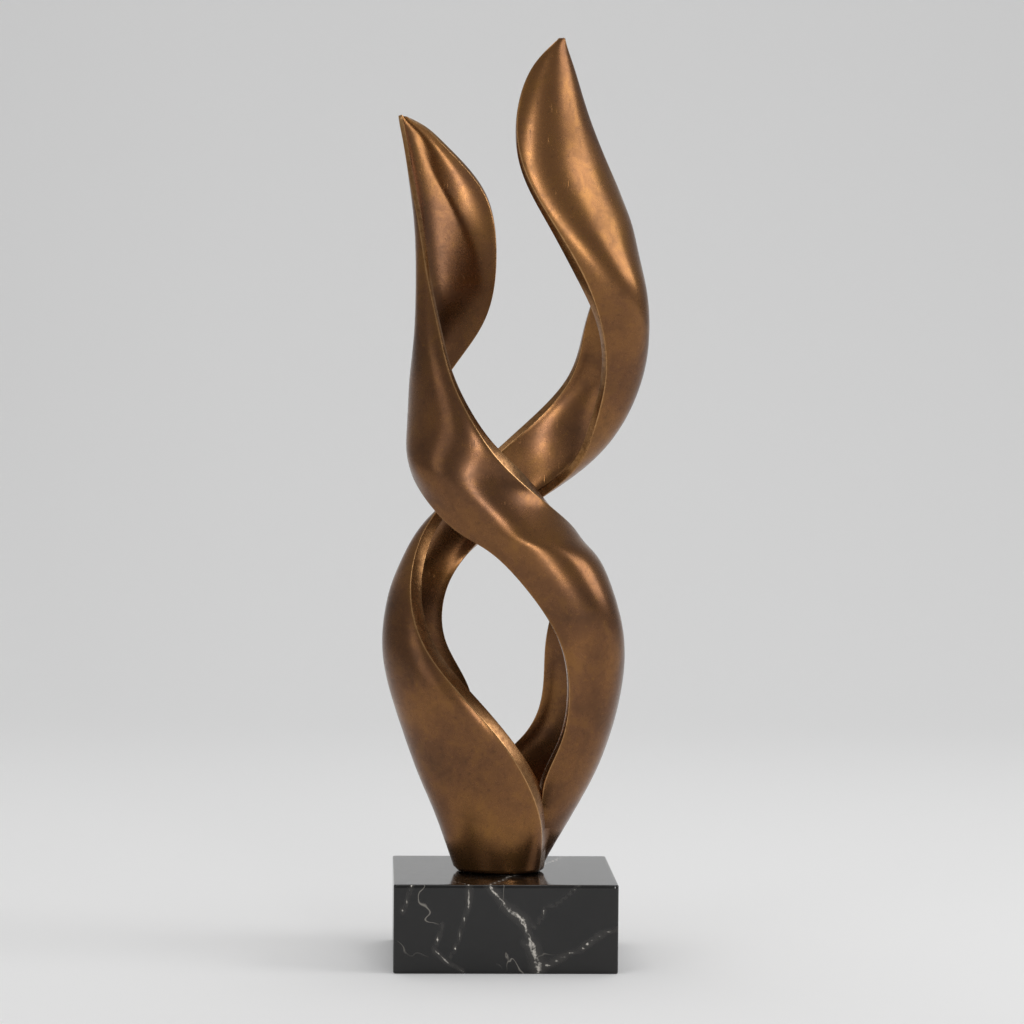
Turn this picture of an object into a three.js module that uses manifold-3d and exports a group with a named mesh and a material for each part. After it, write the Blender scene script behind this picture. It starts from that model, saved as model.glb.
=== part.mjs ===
// An abstract bronze of two ribbons that rise from one foot, cross and open into two leaves,
// standing on a square block of black marble.
// Millimetres, +Z up, origin at the centre of the block's underside.
// The ribbons are lofted over level sections, much as a boat is drawn over its stations.

import * as THREE from 'three';
import { mergeVertices } from 'three/addons/utils/BufferGeometryUtils.js';
import Module from 'manifold-3d';

// ---------------------------------------------------------------- driving dimensions

const PLINTH = { side: 150, height: 59.5, arris: 1.2, corner: 2.2 };
const CONTACT_GAP = 0.3;
const FOOT_LEVEL = PLINTH.height + CONTACT_GAP;

// The foot is a solid oval that fills the ribbons' lower ends. Its under edge is rounded by `rim`.
const FOOT = { centre: [-3, 0], rim: 3.5, fillWidth: 24, fillDepth: 22, fillHeight: 42, flare: 13, dome: 5 };

// Mesh fineness: points across a ribbon's face, rows for each station, and rows round the rim.
const ACROSS = 12;
const ROWS_PER_STATION = 4;
const RIM_ROWS = 3;

const BRONZE = { color: 0x7a5430, metalness: 0.9, roughness: 0.34 };
const MARBLE = { color: 0x24231f, metalness: 0, roughness: 0.16 };

// ---------------------------------------------------------------- ribbon stations

// A station is a level cut through a ribbon, seen from above. It gives the cut's height, then the
// outer face as the four points of a Bezier curve: leading edge, two shoulders, trailing edge.
// Then come the metal's thickness at the leading edge, in the middle and at the trailing edge, and
// how far the bevelled leading and trailing edges lean out past the outer face.
function station(height, lead, leadShoulder, trailShoulder, trail, wall, bevel) {
  return [height, ...lead, ...leadShoulder, ...trailShoulder, ...trail, ...wall, ...bevel];
}

const TALL_RIBBON = [
  station(60, [24, -17], [8, -42], [-40, -24], [-32, 4], [5, 10, 8], [8, 0]),
  station(90, [25.5, -25], [12, -46], [-68, -26], [-36, 16], [4.5, 9, 7], [9, 0]),
  station(120, [16.5, -35], [-12, -50], [-98, -16], [-31, 30], [4.5, 8, 6], [8, 0]),
  station(150, [-1.5, -44], [-38, -54], [-117, 0], [-23, 40], [5, 7, 5], [6.5, 0]),
  station(180, [-27.5, -46], [-64, -50], [-120, 12], [-24, 42], [6, 7, 5], [5, 0]),
  station(210, [-52, -38], [-84, -36], [-107, 18], [-40, 38], [7.5, 7, 5], [4, 1]),
  station(240, [-63.5, -26], [-88, -16], [-92, 22], [-43.5, 36], [8, 7, 5], [4, 1]),
  station(270, [-62.5, -8], [-83, 6], [-66, 44], [-28, 41], [7.5, 7, 5], [4, 1]),
  station(300, [-50, 10], [-66, 30], [4, 62], [8, 39], [6.5, 6.5, 5], [3, 1]),
  station(330, [-23, 28], [0, 54], [70, 56], [45.5, 26], [5.5, 6, 5], [1, 1]),
  station(360, [9.5, 42], [48, 58], [109, 31], [60, 5], [5, 6, 5], [-2, 2]),
  station(395, [42.5, 43], [84, 54], [120, 4], [67, -10], [4.5, 6, 5], [-1, 2]),
  station(430, [54, 32], [102, 36], [117, -26], [63.5, -25], [4.5, 6, 5], [0, 3]),
  station(465, [66, 20], [108, 14], [100, -40], [50.5, -36], [4.5, 6, 5], [0, 6]),
  station(500, [81, 6], [97, -10], [62, -42], [29.5, -42], [4.5, 6, 5], [0, 4]),
  station(535, [71, -6], [64, -26], [34, -46], [10, -46], [4.5, 6, 5], [0, 2.5]),
  station(570, [55.5, -18], [50, -34], [24, -50], [4, -46], [4, 5, 4], [0, 1]),
  station(600, [45, -28], [41, -38], [24, -47], [12, -43], [3.5, 4, 3.5], [0, 1]),
  station(616, [39, -34], [37, -38], [29, -43], [24, -41], [3, 3.5, 3], [0, 0]),
  station(624, [36.5, -37], [35.5, -37.5], [34, -38], [32.5, -38.5], [3, 3, 3], [0, 0]),
];

const SHORT_RIBBON = [
  station(60, [-30, 17], [-14, 42], [34, 24], [26, -4], [5, 10, 8], [6, 0]),
  station(90, [-33, 28], [6, 62], [76, 18], [27, -16], [4.5, 9, 7], [6, 0]),
  station(120, [-12, 42], [44, 60], [96, -8], [26.5, -27], [4.5, 8, 6], [5, 1]),
  station(150, [19, 43], [70, 54], [98, -24], [37.5, -34], [5, 7, 5], [4, 1]),
  station(180, [30, 43], [82, 50], [103, -34], [42.5, -38], [6, 7, 5], [3, 1]),
  station(210, [32, 41], [90, 42], [104, -46], [39, -40], [7, 7, 5], [3, 1]),
  station(240, [39, 31], [92, 14], [92, -58], [24, -42], [7, 7, 5], [3, 1]),
  station(270, [50, 13], [82, -6], [66, -62], [-1, -44], [6, 7, 5], [5, 0]),
  station(285, [51, 0], [64, -24], [32, -66], [-21, -41], [5.5, 7, 5], [5.5, 0]),
  station(300, [41.5, -16], [34, -38], [-6, -64], [-42.5, -36], [5, 7, 5], [6.5, 0]),
  station(330, [5, -40], [-18, -50], [-62, -62], [-64, -18], [4.5, 6, 5], [7, 0]),
  station(360, [-20, -48], [-46, -54], [-82, -26], [-62, 6], [4, 6, 5], [5, 0]),
  station(395, [-38, -42], [-70, -42], [-79, 8], [-42, 18], [3.5, 6, 5], [3, 0]),
  station(430, [-47, -31], [-81, -28], [-56, 24], [-17, 28], [3, 6, 5], [2, 0]),
  station(465, [-54.5, -18], [-78, -8], [-44, 34], [-7, 36], [3, 5, 4.5], [1.5, 0]),
  station(500, [-60.5, -6], [-74, 12], [-38, 45], [-7, 40], [3, 4.5, 4], [1.5, 0]),
  station(530, [-66.5, 6], [-72, 24], [-38, 45], [-17.5, 39], [3, 4, 4], [1, 0]),
  station(555, [-71, 15], [-69, 28], [-52, 39], [-40, 35], [3, 3.5, 3.5], [0, 0]),
  station(568, [-73.5, 21], [-72, 27], [-62, 32], [-55, 31], [3, 3, 3], [0, 0]),
  station(575, [-74.5, 23.5], [-73.5, 25], [-71, 26], [-69, 26.5], [3, 3, 3], [0, 0]),
];

// ---------------------------------------------------------------- curves

// A natural cubic spline through evenly spaced values, as a function of the place along them.
function splineThrough(values) {
  const count = values.length;
  const bends = new Array(count).fill(0);
  const scale = new Array(count).fill(0);
  for (let i = 1; i < count - 1; i++) {
    const pivot = 4 - scale[i - 1];
    scale[i] = 1 / pivot;
    bends[i] = (6 * (values[i + 1] - 2 * values[i] + values[i - 1]) - bends[i - 1]) / pivot;
  }
  for (let i = count - 2; i > 0; i--) bends[i] -= scale[i] * bends[i + 1];
  return (place) => {
    const i = Math.min(Math.floor(place), count - 2);
    const after = place - i;
    const before = 1 - after;
    return values[i] * before + values[i + 1] * after
      + ((before ** 3 - before) * bends[i] + (after ** 3 - after) * bends[i + 1]) / 6;
  };
}

// ---------------------------------------------------------------- ribbons

function ribbonFace(stations) {
  const tracks = stations[0].map((_, k) => splineThrough(stations.map((row) => row[k])));
  const at = (place) => tracks.map((track) => track(place));
  const curveAt = (place) => {
    const [height, ...plan] = at(place);
    const corner = (k) => new THREE.Vector3(plan[k], plan[k + 1], height);
    return new THREE.CubicBezierCurve3(corner(0), corner(2), corner(4), corner(6));
  };
  const metalAt = (place, across) => {
    const [lead, crown, trail, leadBevel, trailBevel] = at(place).slice(9);
    const side = 2 * across - 1;
    const edge = side < 0 ? lead : trail;
    const lean = side < 0 ? -leadBevel : trailBevel;
    return { wall: crown + (edge - crown) * side ** 2, lean: lean * side ** 4 };
  };
  return { curveAt, metalAt, last: stations.length - 1 };
}

// The outer face's point, its outward normal and the direction in the face that crosses the ribbon.
// The directions come from two short steps on the face.
function facePoint(face, place, across) {
  const step = 0.01;
  const curve = face.curveAt(place);
  const point = curve.getPoint(across);
  const low = face.curveAt(Math.max(place - step, 0)).getPoint(across);
  const high = face.curveAt(Math.min(place + step, face.last)).getPoint(across);
  const along = high.sub(low).normalize();
  const normal = along.clone().cross(curve.getTangent(across)).normalize();
  return { point, normal, crossing: normal.clone().cross(along) };
}

// One level row of a ribbon's metal: the outer face, then the inner face on the way back.
function metalRow(face, place) {
  const outer = [];
  const inner = [];
  for (let i = 0; i <= ACROSS; i++) {
    const across = i / ACROSS;
    const { point, normal, crossing } = facePoint(face, place, across);
    const { wall, lean } = face.metalAt(place, across);
    outer.push(point);
    inner.unshift(point.clone().addScaledVector(normal, -wall).addScaledVector(crossing, lean));
  }
  return [...outer, ...inner];
}

// The rows that round the under edge: the lowest row again and again, drawn in as it goes down.
function rimRows(lowest) {
  const centre = new THREE.Vector3(...FOOT.centre, 0);
  const rows = [];
  for (let k = 0; k < RIM_ROWS; k++) {
    const turn = (k / RIM_ROWS) * Math.PI / 2;
    const inset = FOOT.rim * (1 - Math.sin(turn));
    const level = FOOT_LEVEL + FOOT.rim * (1 - Math.cos(turn));
    rows.push(lowest.map((point) => {
      const reach = point.clone().sub(centre).setZ(0);
      return centre.clone().add(reach.setLength(reach.length() - inset)).setZ(level);
    }));
  }
  return rows;
}

function ribbonGeometry(stations) {
  const face = ribbonFace(stations);
  const rows = [];
  for (let row = 0; row <= face.last * ROWS_PER_STATION; row++) {
    rows.push(metalRow(face, row / ROWS_PER_STATION));
  }
  rows[0].forEach((point) => point.setZ(FOOT_LEVEL + FOOT.rim));
  return closedTube([...rimRows(rows[0]), ...rows]);
}

// A closed shell over rows of points: quads round each row, and a strip of quads over both ends.
function closedTube(rows) {
  const ring = rows[0].length;
  const points = rows.flat();
  const index = [];
  const quad = (a, b, c, d) => {
    const shortest = points[a].distanceTo(points[c]) < points[b].distanceTo(points[d]);
    index.push(...(shortest ? [a, c, b, a, d, c] : [a, d, b, b, d, c]));
  };
  for (let low = 0; low < points.length - ring; low += ring) {
    for (let i = 0; i < ring; i++) {
      const next = (i + 1) % ring;
      quad(low + i, low + next, low + ring + next, low + ring + i);
    }
  }
  const top = points.length - ring;
  for (let i = 0; i < ring / 2 - 1; i++) {
    quad(i + 1, i, ring - 1 - i, ring - 2 - i);
    quad(top + i, top + i + 1, top + ring - 2 - i, top + ring - 1 - i);
  }
  const geometry = new THREE.BufferGeometry().setFromPoints(points);
  geometry.setIndex(index);
  return geometry;
}

// ---------------------------------------------------------------- solids

const wasm = await Module();
wasm.setup();

function solidOf(geometry) {
  geometry.deleteAttribute('normal');
  geometry.deleteAttribute('uv');
  const merged = mergeVertices(geometry, 1e-4);
  return new wasm.Manifold(new wasm.Mesh({
    numProp: 3,
    vertProperties: new Float32Array(merged.attributes.position.array),
    triVerts: new Uint32Array(merged.index.array),
  }));
}

function geometryOf(solid) {
  const { vertProperties, triVerts } = solid.getMesh();
  const geometry = new THREE.BufferGeometry();
  geometry.setAttribute('position', new THREE.BufferAttribute(new Float32Array(vertProperties), 3));
  geometry.setIndex(new THREE.BufferAttribute(new Uint32Array(triVerts), 1));
  geometry.computeVertexNormals();
  return geometry;
}

// The oval metal between the ribbons' lower ends, a little inside their outer faces.
function footFill() {
  const { rim, fillWidth, fillDepth, fillHeight, flare, dome } = FOOT;
  const profile = [
    new THREE.Vector2(0, 0),
    new THREE.Vector2(fillWidth - rim, 0),
    new THREE.Vector2(fillWidth, rim),
    new THREE.Vector2(fillWidth + flare, fillHeight),
    new THREE.Vector2(0, fillHeight + dome),
  ];
  const fill = new THREE.LatheGeometry(profile, 32);
  fill.rotateX(Math.PI / 2);
  fill.scale(1, fillDepth / fillWidth, 1);
  fill.translate(...FOOT.centre, FOOT_LEVEL);
  return fill;
}

function namedMesh(name, geometry, finish) {
  const mesh = new THREE.Mesh(geometry, new THREE.MeshStandardMaterial(finish));
  mesh.name = name;
  return mesh;
}

function bronzeFlame() {
  const solid = solidOf(ribbonGeometry(TALL_RIBBON))
    .add(solidOf(ribbonGeometry(SHORT_RIBBON)))
    .add(solidOf(footFill()));
  return namedMesh('bronze_flame', geometryOf(solid), BRONZE);
}

// A square block with rounded upright corners and a small flat arris along its top and bottom edges.
function marblePlinth() {
  const { side, height, arris, corner } = PLINTH;
  const inset = side / 2 - arris;
  const round = corner - arris;
  const outline = new THREE.Shape();
  outline.moveTo(-inset, -inset + round);
  outline.absarc(-inset + round, -inset + round, round, Math.PI, Math.PI * 1.5);
  outline.absarc(inset - round, -inset + round, round, Math.PI * 1.5, Math.PI * 2);
  outline.absarc(inset - round, inset - round, round, 0, Math.PI / 2);
  outline.absarc(-inset + round, inset - round, round, Math.PI / 2, Math.PI);
  const block = new THREE.ExtrudeGeometry(outline, {
    depth: height - 2 * arris,
    bevelThickness: arris,
    bevelSize: arris,
    bevelSegments: 1,
    curveSegments: 3,
  });
  block.translate(0, 0, arris);
  return namedMesh('marble_plinth', geometryOf(solidOf(block)), MARBLE);
}

const sculpture = new THREE.Group();
sculpture.name = 'abstract_bronze_on_plinth';
sculpture.add(marblePlinth(), bronzeFlame());

export default sculpture;
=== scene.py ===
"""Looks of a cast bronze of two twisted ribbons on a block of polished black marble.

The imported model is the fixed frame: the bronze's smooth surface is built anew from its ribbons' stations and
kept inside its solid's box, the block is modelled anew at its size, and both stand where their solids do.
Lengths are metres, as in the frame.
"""

import math

import bpy
import numpy as np
from mathutils import Matrix, Vector, kdtree, noise


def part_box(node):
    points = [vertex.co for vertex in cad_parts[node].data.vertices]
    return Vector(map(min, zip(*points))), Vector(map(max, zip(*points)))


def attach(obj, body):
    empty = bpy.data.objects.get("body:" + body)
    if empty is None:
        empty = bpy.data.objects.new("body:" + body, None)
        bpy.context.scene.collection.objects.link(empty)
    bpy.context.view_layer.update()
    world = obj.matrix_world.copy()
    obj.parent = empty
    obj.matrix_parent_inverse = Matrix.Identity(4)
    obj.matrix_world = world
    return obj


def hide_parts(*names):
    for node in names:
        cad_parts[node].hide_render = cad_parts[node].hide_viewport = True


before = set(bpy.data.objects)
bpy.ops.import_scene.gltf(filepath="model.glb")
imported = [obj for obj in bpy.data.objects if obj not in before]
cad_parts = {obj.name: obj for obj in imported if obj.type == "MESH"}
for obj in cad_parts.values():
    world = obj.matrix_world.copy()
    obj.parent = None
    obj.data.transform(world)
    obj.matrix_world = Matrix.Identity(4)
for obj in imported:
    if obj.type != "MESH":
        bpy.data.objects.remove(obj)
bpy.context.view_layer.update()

bl_info = {
    "name": "Bronze Ribbons on Marble",
    "version": (1, 0, 0),
    "blender": (4, 5, 0),
    "location": "View3D > Sidebar > Sculpture",
    "description": "Cast bronze of two ribbons, its marble block and a plain studio",
    "category": "Object",
}

MM = 0.001


# ------------------------------------------------------------------------------------- settings


class BronzeSettings(bpy.types.PropertyGroup):
    """Sizes and colours of the casting."""

    edge_round: bpy.props.FloatProperty(
        name="Edge rounding",
        description="Width of the small rounding that chasing leaves on the metal's edges",
        default=0.7 * MM,
        min=0.2 * MM,
        max=2 * MM,
        unit="LENGTH",
    )
    fold_depth: bpy.props.FloatProperty(
        name="Leaf fold",
        description="How deep the fold inside the short ribbon's leaf is",
        default=2.2 * MM,
        min=0,
        max=2.5 * MM,
        unit="LENGTH",
    )
    patina: bpy.props.StringProperty(
        name="Patina", description="Brown of the patina, as sRGB hex", default="785134"
    )
    patina_gold: bpy.props.StringProperty(
        name="Thin patina", description="Golden brown where it is thin", default="936733"
    )
    patina_dark: bpy.props.StringProperty(
        name="Thick patina", description="Umber where it is thick", default="37291F"
    )
    # Pale bare metal for the edges: real wear, and also a painted highlight along them.
    worn_metal_and_highlight: bpy.props.StringProperty(
        name="Worn edge and painted highlight", description="Bare metal along the edges", default="E2B27C"
    )


class MarbleSettings(bpy.types.PropertyGroup):
    """Sizes and colours of the block."""

    corner_round: bpy.props.FloatProperty(
        name="Corner rounding",
        description="Radius of the block's upright corners",
        default=2.2 * MM,
        min=0.5 * MM,
        max=6 * MM,
        unit="LENGTH",
    )
    arris: bpy.props.FloatProperty(
        name="Arris",
        description="Width of the broken edge round the top and the underside",
        default=1.1 * MM,
        min=0.3 * MM,
        max=3 * MM,
        unit="LENGTH",
    )
    stone: bpy.props.StringProperty(
        name="Stone", description="Black of the marble, as sRGB hex", default="0D0C0B"
    )
    vein: bpy.props.StringProperty(
        name="Vein", description="White of its calcite veins, as sRGB hex", default="D8D2C8"
    )


class StageSettings(bpy.types.PropertyGroup):
    """The camera and the plain studio."""

    lens: bpy.props.FloatProperty(
        name="Lens",
        description="Focal length on a 36 mm wide frame",
        default=133.6,
        min=20,
        max=400,
        subtype="DISTANCE_CAMERA",
    )
    backdrop: bpy.props.StringProperty(
        name="Backdrop", description="Pale grey of the floor and the wall", default="F2F2F2"
    )


# ------------------------------------------------------------------------------------- helpers


def linear(hex_code):
    """An sRGB hex colour as linear RGBA."""
    channels = [int(hex_code[i : i + 2], 16) / 255 for i in (0, 2, 4)]
    curve = [c / 12.92 if c <= 0.04045 else ((c + 0.055) / 1.055) ** 2.4 for c in channels]
    return (*curve, 1.0)


def pick(piece):
    """Makes piece the only selected object, and the active one."""
    bpy.ops.object.select_all(action="DESELECT")
    piece.select_set(True)
    bpy.context.view_layer.objects.active = piece


def apply_modifier(piece, kind, **settings):
    """Adds a modifier with these settings and applies it."""
    modifier = piece.modifiers.new(kind.title(), kind)
    for key, value in settings.items():
        setattr(modifier, key, value)
    pick(piece)
    bpy.ops.object.modifier_apply(modifier=modifier.name)


def store(piece, name, values):
    """Writes one number for each vertex as the attribute `name`."""
    attribute = piece.data.attributes.new(name, "FLOAT", "POINT")
    attribute.data.foreach_set("value", np.asarray(values, dtype=np.float32))


def smooth(low, high, value):
    """0 below low, 1 above high and a smooth step between."""
    t = min(max((value - low) / (high - low), 0.0), 1.0)
    return t * t * (3 - 2 * t)


def finish_piece(piece, node, material):
    """Dresses a piece, hides its CAD node and rides it on the one body."""
    piece.data.materials.clear()
    piece.data.materials.append(material)
    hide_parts(node)
    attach(piece, "root")


def new_material(name):
    """An empty node material with its output and Principled shader."""
    material = bpy.data.materials.new(name)
    material.use_nodes = True
    tree = material.node_tree
    tree.nodes.clear()
    output = tree.nodes.new("ShaderNodeOutputMaterial")
    shader = tree.nodes.new("ShaderNodeBsdfPrincipled")
    tree.links.new(shader.outputs[0], output.inputs["Surface"])
    return material, tree, shader


def add(tree, kind, inputs=None, **settings):
    """Adds a node: settings are its properties, inputs its sockets' values or links."""
    node = tree.nodes.new("ShaderNode" + kind)
    for key, value in settings.items():
        setattr(node, key, value)
    for key, value in (inputs or {}).items():
        if isinstance(value, bpy.types.NodeSocket):
            tree.links.new(value, node.inputs[key])
        else:
            node.inputs[key].default_value = value
    return node


def speckle(tree, place, size, detail=4.0, roughness=0.55, distortion=0.0):
    """Noise whose patches are about `size` metres across."""
    inputs = {
        "Vector": place,
        "Scale": 1 / size,
        "Detail": detail,
        "Roughness": roughness,
        "Distortion": distortion,
    }
    return add(tree, "TexNoise", inputs).outputs["Fac"]


def ramp(tree, value, low, high, to_low=0.0, to_high=1.0):
    """Maps value from low..high to to_low..to_high, and holds it there."""
    inputs = {
        "Value": value,
        "From Min": low,
        "From Max": high,
        "To Min": to_low,
        "To Max": to_high,
    }
    return add(tree, "MapRange", inputs).outputs["Result"]


def calc(tree, operation, first, second):
    """One arithmetic step."""
    return add(tree, "Math", {0: first, 1: second}, operation=operation).outputs[0]


def blend_colour(tree, share, under, over, blend_type="MIX"):
    """Lays colour `over` on colour `under` by share."""
    inputs = {0: share, 6: under, 7: over}
    return add(tree, "Mix", inputs, data_type="RGBA", blend_type=blend_type).outputs[2]


# ------------------------------------------------------------------------------------- bronze

def station(height, lead, lead_shoulder, trail_shoulder, trail, wall, bevel):
    """A level cut through a ribbon, in millimetres.

    The outer face is a Bezier curve in plan: leading edge, two shoulders, trailing edge. Then come
    the metal's thickness at the leading edge, middle and trailing edge, and how far the bevelled
    edges lean out past the outer face.
    """
    return [height, *lead, *lead_shoulder, *trail_shoulder, *trail, *wall, *bevel]


TALL_RIBBON = [
    station(60, (24, -17), (8, -42), (-40, -24), (-32, 4), (3.5, 10, 8), (13, 0)),
    station(90, (25.5, -25), (12, -46), (-68, -26), (-36, 16), (4, 9, 7), (13, 0)),
    station(120, (16.5, -35), (-12, -50), (-98, -16), (-31, 30), (4.5, 8, 6), (9.5, 0)),
    station(150, (-1.5, -44), (-38, -54), (-117, 0), (-23, 40), (5, 7, 5), (7.5, 0)),
    station(180, (-27.5, -46), (-64, -50), (-120, 12), (-24, 42), (6, 7, 5), (8, 0)),
    station(210, (-52, -38), (-84, -36), (-107, 18), (-40, 38), (7.5, 7, 5), (7.5, 1)),
    station(240, (-63.5, -26), (-88, -16), (-92, 22), (-43.5, 36), (8, 7, 5), (5.5, 1)),
    station(270, (-62.5, -8), (-83, 6), (-66, 44), (-28, 41), (7.5, 7, 5), (4, 1)),
    station(300, (-50, 10), (-66, 30), (4, 62), (8, 39), (6.5, 6.5, 5), (3, 1)),
    station(330, (-23, 28), (0, 54), (70, 56), (45.5, 26), (5.5, 6, 5), (1, 1)),
    station(360, (9.5, 42), (48, 58), (109, 31), (60, 5), (5, 6, 5), (-2, 2)),
    station(395, (42.5, 43), (84, 54), (120, 4), (67, -10), (4.5, 6, 5), (-1, 2)),
    station(430, (54, 32), (102, 36), (117, -26), (63.5, -25), (4.5, 6, 5), (0, 3)),
    station(465, (66, 20), (108, 14), (100, -40), (50.5, -36), (4.5, 6, 5), (0, 6)),
    station(500, (81, 6), (97, -10), (62, -42), (29.5, -42), (4.5, 6, 5), (0, 4)),
    station(535, (71, -6), (64, -26), (34, -46), (10, -46), (4.5, 6, 5), (0, 2.5)),
    station(570, (55.5, -18), (50, -34), (24, -50), (4, -46), (4, 5, 4), (0, 1)),
    station(600, (45, -28), (41, -38), (24, -47), (12, -43), (3.5, 4, 3.5), (0, 1)),
    station(616, (39, -34), (37, -38), (29, -43), (24, -41), (3, 3.5, 3), (0, 0)),
    station(624, (36.5, -37), (35.5, -37.5), (34, -38), (32.5, -38.5), (3, 3, 3), (0, 0)),
]

SHORT_RIBBON = [
    station(60, (-30, 17), (-14, 42), (34, 24), (26, -4), (5, 10, 8), (6, 0)),
    station(90, (-33, 28), (6, 62), (76, 18), (27, -16), (4.5, 9, 7), (6, 0)),
    station(120, (-12, 42), (44, 60), (96, -8), (26.5, -27), (4.5, 8, 6), (5, 1)),
    station(150, (19, 43), (70, 54), (98, -24), (37.5, -34), (5, 7, 5), (4, 1)),
    station(180, (30, 43), (82, 50), (103, -34), (42.5, -38), (6, 7, 5), (3, 1)),
    station(210, (32, 41), (90, 42), (104, -46), (39, -40), (7, 7, 5), (3, 1)),
    station(240, (39, 31), (92, 14), (92, -58), (24, -42), (7, 7, 5), (3, 1)),
    station(270, (50, 13), (82, -6), (66, -62), (-1, -44), (6, 7, 5), (5, 0)),
    station(285, (51, 0), (64, -24), (32, -66), (-21, -41), (5.5, 7, 5), (5.5, 0)),
    station(300, (41.5, -16), (34, -38), (-6, -64), (-42.5, -36), (5, 7, 5), (6.5, 0)),
    station(330, (5, -40), (-18, -50), (-62, -62), (-64, -18), (4.5, 6, 5), (7, 0)),
    station(360, (-20, -48), (-46, -54), (-82, -26), (-62, 6), (4, 6, 5), (5, 0)),
    station(395, (-38, -42), (-70, -42), (-79, 8), (-42, 18), (3.5, 6, 5), (3, 0)),
    station(430, (-47, -31), (-81, -28), (-56, 24), (-17, 28), (3, 6, 5), (2, 0)),
    station(465, (-54.5, -18), (-78, -8), (-44, 34), (-7, 36), (3, 5, 4.5), (1.5, 0)),
    station(500, (-60.5, -6), (-74, 12), (-38, 45), (-7, 40), (3, 4.5, 4), (1.5, 0)),
    station(530, (-66.5, 6), (-72, 24), (-38, 45), (-17.5, 39), (3, 4, 4), (1, 0)),
    station(555, (-71, 15), (-69, 28), (-52, 39), (-40, 35), (3, 3.5, 3.5), (0, 0)),
    station(568, (-73.5, 21), (-72, 27), (-62, 32), (-55, 31), (3, 3, 3), (0, 0)),
    station(575, (-74.5, 23.5), (-73.5, 25), (-71, 26), (-69, 26.5), (3, 3, 3), (0, 0)),
]

# Fineness of the surface: points across a face, and rows for each station.
ACROSS = 26
ROWS_PER_STATION = 11
CORNER_STEPS = 3

# The fold runs down inside the short ribbon's leaf: X and Z of its points, from the tip down, and
# how deep it is at each of them, as a share of its full depth.
LEAF_FOLD = [
    (-62, 559, 0.0),
    (-50, 537, 0.75),
    (-41, 523, 1.0),
    (-33, 509, 1.0),
    (-24, 490, 0.7),
    (-19, 471, 0.45),
    (-17, 452, 0.0),
]
FOLD_REACH = 19
FOLD_CREASE = 0.5


def spline(rows, places):
    """A natural cubic spline through evenly spaced rows of values, read at these places."""
    rows = np.asarray(rows, dtype=float)
    count = len(rows)
    matrix = np.eye(count)
    pull = np.zeros_like(rows)
    for i in range(1, count - 1):
        matrix[i, i - 1 : i + 2] = 1, 4, 1
        pull[i] = 6 * (rows[i + 1] - 2 * rows[i] + rows[i - 1])
    bends = np.linalg.solve(matrix, pull)
    start = np.clip(np.floor(places).astype(int), 0, count - 2)
    after = (places - start)[:, None]
    before = 1 - after
    bow = (before**3 - before) * bends[start] + (after**3 - after) * bends[start + 1]
    return rows[start] * before + rows[start + 1] * after + bow / 6


def unit(vectors):
    """The vectors, each made one long."""
    return vectors / np.linalg.norm(vectors, axis=-1, keepdims=True)


def outer_face(stations, places, across):
    """Points of a ribbon's outer face, its tangent across, and the spline's own rows."""
    track = spline(stations, places)
    t = across[None, :, None]
    a, b, c, d = (
        np.concatenate((track[:, k : k + 2], track[:, :1]), axis=1)[:, None] for k in (1, 3, 5, 7)
    )
    points = (1 - t) ** 3 * a + 3 * (1 - t) ** 2 * t * b + 3 * (1 - t) * t**2 * c + t**3 * d
    tangent = (1 - t) ** 2 * (b - a) + 2 * (1 - t) * t * (c - b) + t**2 * (d - c)
    return points, tangent, track


def both_faces(stations, places, across):
    """The outer and inner faces' points, and the outer face's normals."""
    step = 0.01
    outer, tangent, track = outer_face(stations, places, across)
    below = outer_face(stations, np.maximum(places - step, 0), across)[0]
    above = outer_face(stations, np.minimum(places + step, len(stations) - 1), across)[0]
    along = unit(above - below)
    normal = unit(np.cross(along, tangent))
    crossing = np.cross(normal, along)
    lead, crown, trail, lead_bevel, trail_bevel = (track[:, k : k + 1] for k in range(9, 14))
    side = 2 * across[None] - 1
    wall = crown + (np.where(side < 0, lead, trail) - crown) * side**2
    lean = np.where(side < 0, -lead_bevel, trail_bevel) * side**4
    inner = outer - normal * wall[..., None] + crossing * lean[..., None]
    return outer, inner, normal


def fold_depth_at(points):
    """How deep the leaf's fold is at these points of the inner face, as a share."""
    line = spline(LEAF_FOLD, np.linspace(0, len(LEAF_FOLD) - 1, 120))
    gaps = np.linalg.norm(points[:, None, [0, 2]] - line[None, :, :2], axis=2)
    nearest = gaps.argmin(axis=1)
    gap = np.hypot(gaps.min(axis=1), FOLD_CREASE)
    reach = np.clip(1 - gap / FOLD_REACH, 0, 1) ** 2
    return reach * np.clip(line[nearest, 2], 0, 1)


def rounded(corner, before, after, radius):
    """Points that round a corner of each row, from the side of `before` to that of `after`."""
    back, on = before - corner, after - corner
    back_length = np.linalg.norm(back, axis=1, keepdims=True)
    on_length = np.linalg.norm(on, axis=1, keepdims=True)
    reach = np.minimum(radius, 0.4 * np.minimum(back_length, on_length))
    start = corner + back / back_length * reach
    end = corner + on / on_length * reach
    steps = np.linspace(0, 1, CORNER_STEPS + 1)
    return [(1 - t) ** 2 * start + 2 * (1 - t) * t * corner + t**2 * end for t in steps]


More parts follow.
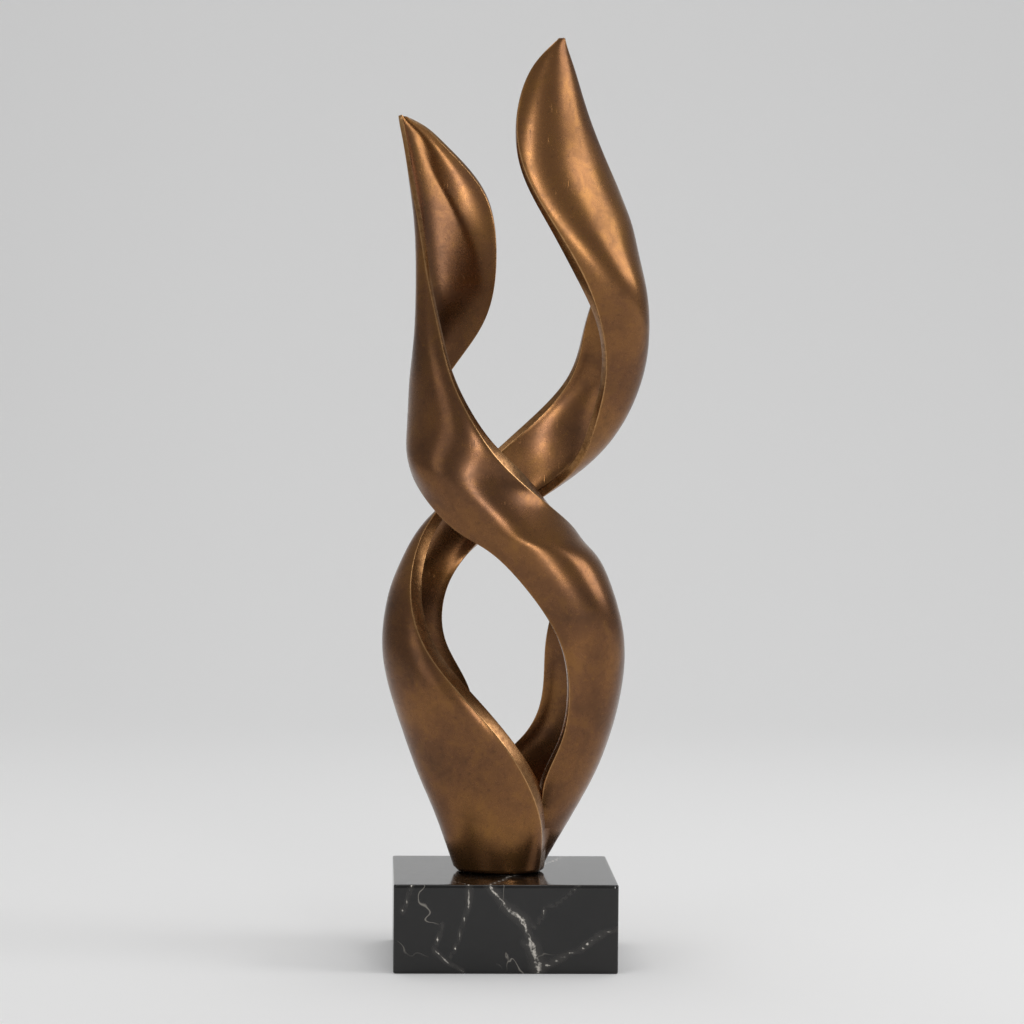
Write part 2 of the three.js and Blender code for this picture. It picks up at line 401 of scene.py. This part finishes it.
def ribbon_rows(stations, radius, fold=0.0):
    """A ribbon's rows of points, from its foot to its tip, and its four corner lines."""
    last = len(stations) - 1
    places = np.linspace(0, last, last * ROWS_PER_STATION + 1)
    across = np.linspace(0, 1, ACROSS + 1)
    outer, inner, normal = both_faces(stations, places, across)
    if fold:
        flat, toward = inner.reshape(-1, 3), normal.reshape(-1, 3)
        in_leaf = np.nonzero(flat[:, 2] > 440)[0]
        depth = fold * fold_depth_at(flat[in_leaf])
        flat[in_leaf] += toward[in_leaf] * depth[:, None]
    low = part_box("bronze_flame")[0].z / MM + FOOT_RIM
    for face in (outer, inner):
        face[0, :, 2] = low
    corners = (outer[:, 0], outer[:, -1], inner[:, -1], inner[:, 0])
    ring = rounded(outer[:, 0], inner[:, 0], outer[:, 1], radius)
    ring += [outer[:, i] for i in range(1, ACROSS)]
    ring += rounded(outer[:, -1], outer[:, -2], inner[:, -1], radius)
    ring += rounded(inner[:, -1], outer[:, -1], inner[:, -2], radius)
    ring += [inner[:, i] for i in range(ACROSS - 1, 0, -1)]
    ring += rounded(inner[:, 0], inner[:, 1], outer[:, 0], radius)
    return np.stack(ring, axis=1), corners


FOOT_RIM = 3.5
FOOT_CENTRE = (-3.0, 0.0)
FOOT_FILL = {"width": 24.0, "depth": 22.0, "height": 42.0, "flare": 13.0, "dome": 5.0}


def rim_rows(lowest):
    """Rows that round the under edge: the lowest row, drawn in as it goes down."""
    centre = np.array((*FOOT_CENTRE, 0.0))
    rows = []
    steps = 5
    for k in range(steps):
        turn = k / steps * math.pi / 2
        reach = (lowest - centre) * (1, 1, 0)
        length = np.linalg.norm(reach, axis=1, keepdims=True)
        row = centre + reach * (1 - FOOT_RIM * (1 - math.sin(turn)) / length)
        row[:, 2] = lowest[0, 2] - FOOT_RIM * math.cos(turn)
        rows.append(row)
    return np.stack(rows)


def closed_shell(name, rows):
    """A mesh object over rows of points, in millimetres, closed by a face at both ends."""
    count, ring = rows.shape[:2]
    faces = [
        (r * ring + i, r * ring + (i + 1) % ring, (r + 1) * ring + (i + 1) % ring, (r + 1) * ring + i)
        for r in range(count - 1)
        for i in range(ring)
    ]
    faces.append(tuple(reversed(range(ring))))
    faces.append(tuple(range((count - 1) * ring, count * ring)))
    mesh = bpy.data.meshes.new(name)
    mesh.from_pydata((rows.reshape(-1, 3) * MM).tolist(), [], faces)
    shell = bpy.data.objects.new(name, mesh)
    bpy.context.scene.collection.objects.link(shell)
    pick(shell)
    bpy.ops.object.mode_set(mode="EDIT")
    bpy.ops.mesh.select_all(action="SELECT")
    bpy.ops.mesh.normals_make_consistent(inside=False)
    bpy.ops.object.mode_set(mode="OBJECT")
    return shell


def foot_fill():
    """The oval metal that fills the ribbons' lower ends, a little inside their outer faces."""
    width, depth, height, flare, dome = FOOT_FILL.values()
    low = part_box("bronze_flame")[0].z / MM
    profile = [(width - FOOT_RIM, 0), (width, FOOT_RIM), (width + flare, height)]
    crown = 8
    for k in range(1, crown):
        share = 1 - k / crown
        profile.append(((width + flare) * share, height + dome * (1 - share)))
    turns = np.linspace(0, 2 * math.pi, 64, endpoint=False)
    rows = [
        np.stack(
            (
                FOOT_CENTRE[0] + radius * np.cos(turns),
                FOOT_CENTRE[1] + radius * depth / width * np.sin(turns),
                np.full_like(turns, low + level),
            ),
            axis=1,
        )
        for radius, level in profile
    ]
    return closed_shell("foot_fill", np.stack(rows))


def keep_in_box(piece, node):
    """Draws any vertex that stands out of the node's box back to it."""
    low, high = (np.array(corner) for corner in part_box(node))
    places = np.empty(len(piece.data.vertices) * 3)
    piece.data.vertices.foreach_get("co", places)
    places = np.clip(places.reshape(-1, 3), low, high)
    piece.data.vertices.foreach_set("co", places.ravel())
    piece.data.update()


def cast_bronze(settings):
    """Both ribbons and the foot fill as one closed casting, and the lines of its edges."""
    radius = settings.edge_round / MM
    tall, tall_edges = ribbon_rows(TALL_RIBBON, radius)
    short, short_edges = ribbon_rows(SHORT_RIBBON, radius, settings.fold_depth / MM)
    shells = [
        closed_shell(name, np.concatenate((rim_rows(rows[0]), rows)))
        for name, rows in (("bronze_casting", tall), ("short_ribbon", short))
    ]
    piece = shells[0]
    for other in (shells[1], foot_fill()):
        apply_modifier(piece, "BOOLEAN", operation="UNION", solver="EXACT", object=other)
        bpy.data.objects.remove(other)
    keep_in_box(piece, "bronze_flame")
    return piece, np.concatenate(tall_edges + short_edges)


def edge_gaps(piece, edge_points):
    """For each vertex, its distance in millimetres from the nearest edge of the metal."""
    tree = kdtree.KDTree(len(edge_points))
    for i, place in enumerate(edge_points):
        tree.insert(place * MM, i)
    tree.balance()
    return [tree.find(vertex.co)[2] / MM for vertex in piece.data.vertices]


def waxed_bronze(settings):
    """Cast bronze, chased, patinated brown with heat and waxed.

    The patina is thin and golden here, thick and umber there, and its wax gives a satin sheen.
    """
    material, tree, shader = new_material("waxed_brown_bronze")
    place = add(tree, "TexCoord").outputs["Object"]

    # Clouds of thick and thin patina, a hand's breadth across, with torch marks inside them.
    clouds = speckle(tree, place, 70 * MM, 3, 0.5, 0.4)
    torch = speckle(tree, place, 14 * MM, 6, 0.62, 0.6)
    mottle = speckle(tree, place, 3.2 * MM, 5, 0.65)
    grain = speckle(tree, place, 0.7 * MM, 3, 0.6)

    thick = calc(tree, "ADD", ramp(tree, clouds, 0.45, 0.75, 0, 0.7), ramp(tree, torch, 0.5, 0.8, 0, 0.4))
    thin = calc(tree, "ADD", ramp(tree, clouds, 0.55, 0.3, 0, 0.5), ramp(tree, torch, 0.5, 0.28, 0, 0.35))
    colour = blend_colour(tree, thin, linear(settings.patina), linear(settings.patina_gold))
    colour = blend_colour(
        tree, calc(tree, "MULTIPLY", thick, 0.75), colour, linear(settings.patina_dark)
    )
    flecks = ramp(tree, mottle, 0.56, 0.72, 0, 0.35)
    colour = blend_colour(tree, flecks, colour, linear(settings.patina_dark))
    colour = blend_colour(
        tree, ramp(tree, mottle, 0.42, 0.28, 0, 0.35), colour, linear(settings.patina_gold)
    )

    # Handling rubs the patina off the outermost millimetre of each edge; this pale bare metal is also a painted
    # highlight, a bright line laid along every edge.
    gap = add(tree, "Attribute", attribute_name="edge_gap").outputs["Fac"]
    ragged = calc(tree, "ADD", gap, ramp(tree, mottle, 0.3, 0.7, -0.15, 0.25))
    edge_wear_and_highlight = ramp(tree, ragged, 0.9, 0.2)
    colour = blend_colour(tree, calc(tree, "MULTIPLY", edge_wear_and_highlight, 0.55), colour, linear(settings.worn_metal_and_highlight))
    # A softer golden band up to about 3 mm in from each edge: thinner patina, and partly a painted sheen.
    soft_wear_and_sheen = ramp(tree, ragged, 3.0, 0.6, 0, 0.22)
    colour = blend_colour(tree, soft_wear_and_sheen, colour, linear(settings.patina_gold))
    tree.links.new(colour, shader.inputs["Base Color"])

    shine = calc(tree, "ADD", ramp(tree, torch, 0.3, 0.75, 0.23, 0.33), ramp(tree, grain, 0.3, 0.7, -0.03, 0.03))
    tree.links.new(calc(tree, "SUBTRACT", shine, calc(tree, "MULTIPLY", edge_wear_and_highlight, 0.08)), shader.inputs["Roughness"])
    shader.inputs["Metallic"].default_value = 0.92
    shader.inputs["Coat Weight"].default_value = 0.12
    shader.inputs["Coat Roughness"].default_value = 0.22

    # The chaser's long soft waves, the skin of the casting and hair-fine scratches.
    waves = speckle(tree, place, 26 * MM, 2, 0.4)
    skin = add(tree, "Bump", {"Height": waves, "Distance": 0.5 * MM, "Strength": 0.12})
    cast = add(
        tree, "Bump", {"Height": mottle, "Distance": 0.03 * MM, "Strength": 0.12, "Normal": skin.outputs[0]}
    )
    scratches = scratch_marks(tree, place)
    cut = add(
        tree,
        "Bump",
        {"Height": scratches, "Distance": 0.06 * MM, "Strength": 0.6, "Normal": cast.outputs[0]},
    )
    tree.links.new(cut.outputs[0], shader.inputs["Normal"])
    return material


def scratch_marks(tree, place):
    """Sparse hair-fine scratches: noise stretched twentyfold along two slants."""
    marks = None
    for turn, stretch in ((0.5, 0.9), (-0.9, 1.1)):
        mapping = add(tree, "Mapping", {"Vector": place, "Rotation": (0.3, turn, 0.2)})
        mapping.inputs["Scale"].default_value = (1.0, 1.0, 0.05 * stretch)
        lines = speckle(tree, mapping.outputs[0], 1.1 * MM, 1, 0.5)
        patch = speckle(tree, place, 9 * MM, 2, 0.5)
        few = calc(tree, "MULTIPLY", ramp(tree, lines, 0.69, 0.76), ramp(tree, patch, 0.52, 0.62))
        marks = few if marks is None else calc(tree, "MAXIMUM", marks, few)
    return calc(tree, "MULTIPLY", marks, -1.0)


class SCULPTURE_OT_bronze(bpy.types.Operator):
    """Makes the bronze casting: both ribbons and the foot that they share."""

    bl_idname = "sculpture.bronze"
    bl_label = "Bronze casting"

    def execute(self, context):
        settings = context.scene.bronze_settings
        piece, edge_points = cast_bronze(settings)
        store(piece, "edge_gap", edge_gaps(piece, edge_points))
        pick(piece)
        bpy.ops.object.shade_smooth_by_angle(angle=math.radians(40))
        finish_piece(piece, "bronze_flame", waxed_bronze(settings))
        return {"FINISHED"}


# ------------------------------------------------------------------------------------- marble

# Veins on the front face, as they would be drawn on the stone: start and end in X and Z, the
# vein's half thickness, and how far it slants to +X for each millimetre into the block.
VEINS = [
    ((-13, 60), (2, 44), 0.9, 0.4),
    ((2, 44), (12, 34), 1.3, 0.4),
    ((12, 34), (18, 19), 0.9, 0.4),
    ((18, 19), (22, 2), 1.4, 0.4),
    ((11, 21), (20, 20), 0.5, 0.2),
    ((22, 3), (38, 12), 0.7, 0.9),
    ((38, 12), (50, 17), 0.5, 0.9),
    ((50, 17), (63, 27), 0.7, 0.9),
    ((63, 27), (76, 31), 0.5, 0.9),
    ((-25, 60), (-24, 50), 0.6, -0.6),
    ((-24, 50), (-28, 33), 0.5, -0.6),
    ((-28, 33), (-36, 12), 0.45, -0.6),
    ((-62, 60), (-69, 42), 0.5, 1.2),
    ((-41, 33), (-49, 15), 0.45, 0.7),
    ((-49, 15), (-36, 6), 0.45, 0.7),
    ((-36, 6), (-28, 2), 0.4, 0.7),
    ((50, 60), (32, 46), 0.4, -1.1),
    ((27, 47), (20, 31), 0.4, 0.5),
]


def vein_gap(place):
    """The distance in millimetres from a point of the block to the nearest vein's surface."""
    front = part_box("marble_plinth")[0].y
    inward = (place.y - front) / MM
    wander = noise.noise_vector(place / (14 * MM)) * 1.6 + noise.noise_vector(place / (5 * MM)) * 0.7
    x = place.x / MM + wander.x
    z = place.z / MM + wander.z
    best = 50.0
    for (x0, z0), (x1, z1), half, slant in VEINS:
        start = Vector((x0 + slant * inward, z0))
        along = Vector((x1 - x0, z1 - z0))
        share = min(max((Vector((x, z)) - start).dot(along) / along.length_squared, 0.0), 1.0)
        gap = (Vector((x, z)) - start - along * share).length
        best = min(best, gap / half)
    return best


def edges_where(piece, test):
    """Selects, in edit mode, the edges that pass the test, and no others."""
    bpy.ops.object.mode_set(mode="OBJECT")
    for polygon in piece.data.polygons:
        polygon.select = False
    for vertex in piece.data.vertices:
        vertex.select = False
    places = [vertex.co for vertex in piece.data.vertices]
    for edge in piece.data.edges:
        edge.select = test(places[edge.vertices[0]], places[edge.vertices[1]])
    bpy.ops.object.mode_set(mode="EDIT")


def marble_block(settings):
    """A block of its solid's size: corners and arrises rounded, faces divided for the veins."""
    low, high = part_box("marble_plinth")
    bpy.ops.object.select_all(action="DESELECT")
    bpy.ops.mesh.primitive_cube_add(size=1, location=(low + high) / 2, scale=high - low)
    piece = bpy.context.object
    piece.name = piece.data.name = "marble_block"
    bpy.ops.object.transform_apply(location=True, rotation=True, scale=True)
    bpy.ops.object.mode_set(mode="EDIT")
    bpy.ops.mesh.select_mode(type="EDGE")
    edges_where(piece, lambda a, b: abs(a.z - b.z) > 10 * MM)
    bpy.ops.mesh.bevel(offset=settings.corner_round, segments=4)
    edges_where(piece, lambda a, b: abs(a.z - b.z) < MM and min(a.z, b.z) > high.z - MM)
    bpy.ops.mesh.bevel(offset=settings.arris, segments=3)
    edges_where(piece, lambda a, b: max(a.z, b.z) < low.z + MM)
    bpy.ops.mesh.bevel(offset=settings.arris, segments=2)
    for axis in range(3):
        steps = 50 if axis < 2 else 20
        margin = 3 * MM
        for step in range(steps):
            at = low[axis] + margin + (high[axis] - low[axis] - 2 * margin) * step / (steps - 1)
            normal = Vector((axis == 0, axis == 1, axis == 2))
            bpy.ops.mesh.select_all(action="SELECT")
            bpy.ops.mesh.bisect(plane_co=normal * at, plane_no=normal)
    bpy.ops.object.mode_set(mode="OBJECT")
    return piece


def polished_marble(settings):
    """Black marble, sawn, ground and polished.

    Broken white calcite veins run through a near-black ground, and the polish mirrors the room.
    """
    material, tree, shader = new_material("polished_black_marble")
    place = add(tree, "TexCoord").outputs["Object"]

    cloud = speckle(tree, place, 30 * MM, 4, 0.6)
    colour = blend_colour(
        tree, ramp(tree, cloud, 0.4, 0.7, 0, 0.5), linear(settings.stone), linear("1B1917")
    )

    # The main veins, broken up along their length as brecciated calcite is.
    gap = add(tree, "Attribute", attribute_name="vein_gap").outputs["Fac"]
    crumble = speckle(tree, place, 2.2 * MM, 4, 0.7)
    torn = calc(tree, "ADD", gap, ramp(tree, crumble, 0.3, 0.75, -0.5, 1.3))
    strength = speckle(tree, place, 11 * MM, 2, 0.5)
    vein = calc(tree, "MULTIPLY", ramp(tree, torn, 1.5, 0.7), ramp(tree, strength, 0.3, 0.55, 0.45, 1.0))
    halo = ramp(tree, gap, 5.0, 0.6, 0, 0.12)
    colour = blend_colour(tree, halo, colour, linear("8C8780"))

    # Hair veins, half a millimetre wide, where two stretched noises pass through their middle.
    hair = speckle(tree, place, 60 * MM, 3, 0.55, 0.8)
    thin = ramp(tree, calc(tree, "ABSOLUTE", calc(tree, "SUBTRACT", hair, 0.5), 0.0), 0.006, 0.001)
    patch = speckle(tree, place, 40 * MM, 2, 0.5)
    thin = calc(tree, "MULTIPLY", thin, ramp(tree, patch, 0.5, 0.62, 0, 0.5))
    colour = blend_colour(tree, thin, colour, linear("A8A298"))
    colour = blend_colour(tree, vein, colour, linear(settings.vein))
    tree.links.new(colour, shader.inputs["Base Color"])

    tree.links.new(ramp(tree, cloud, 0.3, 0.7, 0.07, 0.12), shader.inputs["Roughness"])
    shader.inputs["IOR"].default_value = 1.5
    dip = add(tree, "Bump", {"Height": vein, "Distance": 0.03 * MM, "Strength": -0.3})
    tree.links.new(dip.outputs[0], shader.inputs["Normal"])
    return material


class SCULPTURE_OT_marble(bpy.types.Operator):
    """Makes the block of polished marble."""

    bl_idname = "sculpture.marble"
    bl_label = "Marble block"

    def execute(self, context):
        settings = context.scene.marble_settings
        piece = marble_block(settings)
        store(piece, "vein_gap", [vein_gap(v.co) for v in piece.data.vertices])
        pick(piece)
        bpy.ops.object.shade_smooth_by_angle(angle=math.radians(35))
        finish_piece(piece, "marble_plinth", polished_marble(settings))
        return {"FINISHED"}


# ------------------------------------------------------------------------------------- stage


def place_camera(lens):
    """The camera: nearly level, a little to the left of the front, far off with a long lens."""
    data = bpy.data.cameras.new("camera")
    data.lens = lens
    data.sensor_width = 36
    camera = bpy.data.objects.new("camera", data)
    bpy.context.scene.collection.objects.link(camera)
    yaw, pitch, roll = (math.radians(a) for a in (2.07, 2.28, 0.43))
    forward = Vector(
        (math.sin(yaw) * math.cos(pitch), math.cos(yaw) * math.cos(pitch), -math.sin(pitch))
    )
    level = Vector((math.cos(yaw), -math.sin(yaw), 0))
    upright = level.cross(forward)
    right = level * math.cos(roll) + upright * math.sin(roll)
    up = right.cross(forward)
    turn = Matrix((right, up, -forward)).transposed().to_4x4()
    camera.matrix_world = Matrix.Translation((-0.089, -2.589, 0.408)) @ turn
    bpy.context.scene.camera = camera


def sweep(colour):
    """A floor that curves up into a wall behind: one pale sheet."""
    width, depth, bend, height = 9.0, 3.2, 1.6, 6.0
    profile = [(-6.0, 0.0), (depth - bend, 0.0)]
    for step in range(1, 17):
        turn = math.pi / 2 * step / 16
        profile.append((depth - bend + bend * math.sin(turn), bend - bend * math.cos(turn)))
    profile.append((depth, height))
    bpy.ops.object.select_all(action="DESELECT")
    bpy.ops.mesh.primitive_plane_add(size=1)
    floor = bpy.context.object
    floor.name = floor.data.name = "studio_sweep"
    points = [(side * width / 2, y, z) for y, z in profile for side in (-1, 1)]
    faces = [(2 * i, 2 * i + 1, 2 * i + 3, 2 * i + 2) for i in range(len(profile) - 1)]
    floor.data.clear_geometry()
    floor.data.from_pydata(points, [], faces)
    bpy.ops.object.shade_smooth()
    material, tree, shader = new_material("matt_paper")
    shader.inputs["Base Color"].default_value = linear(colour)
    shader.inputs["Roughness"].default_value = 0.9
    shader.inputs["Specular IOR Level"].default_value = 0.1
    floor.data.materials.append(material)


def softbox(name, azimuth, elevation, distance, size, power, tint="FFFFFF"):
    """A rectangular light that faces the sculpture's middle; azimuth 0 is the front, + is right."""
    data = bpy.data.lights.new(name, "AREA")
    data.shape = "RECTANGLE"
    data.size, data.size_y = size
    data.energy = power
    data.color = linear(tint)[:3]
    light = bpy.data.objects.new(name, data)
    bpy.context.scene.collection.objects.link(light)
    a, e = math.radians(azimuth), math.radians(elevation)
    offset = Vector((math.sin(a) * math.cos(e), -math.cos(a) * math.cos(e), math.sin(e)))
    middle = Vector((0, 0, 0.33))
    light.location = middle + offset * distance
    light.rotation_euler = (-offset).to_track_quat("-Z", "Y").to_euler()
    return light


class SCULPTURE_OT_stage(bpy.types.Operator):
    """Sets the camera, the pale sweep and the soft lights."""

    bl_idname = "sculpture.stage"
    bl_label = "Studio"

    def execute(self, context):
        settings = context.scene.stage_settings
        place_camera(settings.lens)
        sweep(settings.backdrop)
        softbox("overhead", 0, 86, 2.7, (2.4, 2.4), 30)
        softbox("behind", 180, 62, 2.9, (2.6, 1.0), 12)
        softbox("front_strip", 13, 2, 2.7, (0.3, 0.75), 9)
        softbox("right_window", 76, 20, 2.5, (1.3, 0.9), 15)
        softbox("left_fill", -38, 12, 2.8, (1.0, 1.5), 4)
        world = bpy.data.worlds.new("pale_room")
        world.use_nodes = True
        background = world.node_tree.nodes["Background"]
        background.inputs["Color"].default_value = linear("FFFFFF")
        background.inputs["Strength"].default_value = 0.35
        context.scene.world = world
        context.scene.view_settings.view_transform = "Standard"
        return {"FINISHED"}


# ------------------------------------------------------------------------------------- add-on


class SCULPTURE_PT_panel(bpy.types.Panel):
    """Lists the makers of the pieces and their settings."""

    bl_label = "Sculpture"
    bl_idname = "SCULPTURE_PT_panel"
    bl_space_type = "VIEW_3D"
    bl_region_type = "UI"
    bl_category = "Sculpture"

    def draw(self, context):
        scene = context.scene
        groups = (
            (scene.bronze_settings, SCULPTURE_OT_bronze),
            (scene.marble_settings, SCULPTURE_OT_marble),
            (scene.stage_settings, SCULPTURE_OT_stage),
        )
        for settings, operator in groups:
            box = self.layout.box()
            for key in settings.__annotations__:
                box.prop(settings, key)
            box.operator(operator.bl_idname)


CLASSES = (
    BronzeSettings,
    MarbleSettings,
    StageSettings,
    SCULPTURE_OT_bronze,
    SCULPTURE_OT_marble,
    SCULPTURE_OT_stage,
    SCULPTURE_PT_panel,
)


def register():
    for cls in CLASSES:
        bpy.utils.register_class(cls)
    bpy.types.Scene.bronze_settings = bpy.props.PointerProperty(type=BronzeSettings)
    bpy.types.Scene.marble_settings = bpy.props.PointerProperty(type=MarbleSettings)
    bpy.types.Scene.stage_settings = bpy.props.PointerProperty(type=StageSettings)


def unregister():
    for name in ("bronze_settings", "marble_settings", "stage_settings"):
        delattr(bpy.types.Scene, name)
    for cls in reversed(CLASSES):
        bpy.utils.unregister_class(cls)


def main():
    register()
    bpy.ops.sculpture.bronze()
    bpy.ops.sculpture.marble()
    bpy.ops.sculpture.stage()


if __name__ == "__main__":
    main()
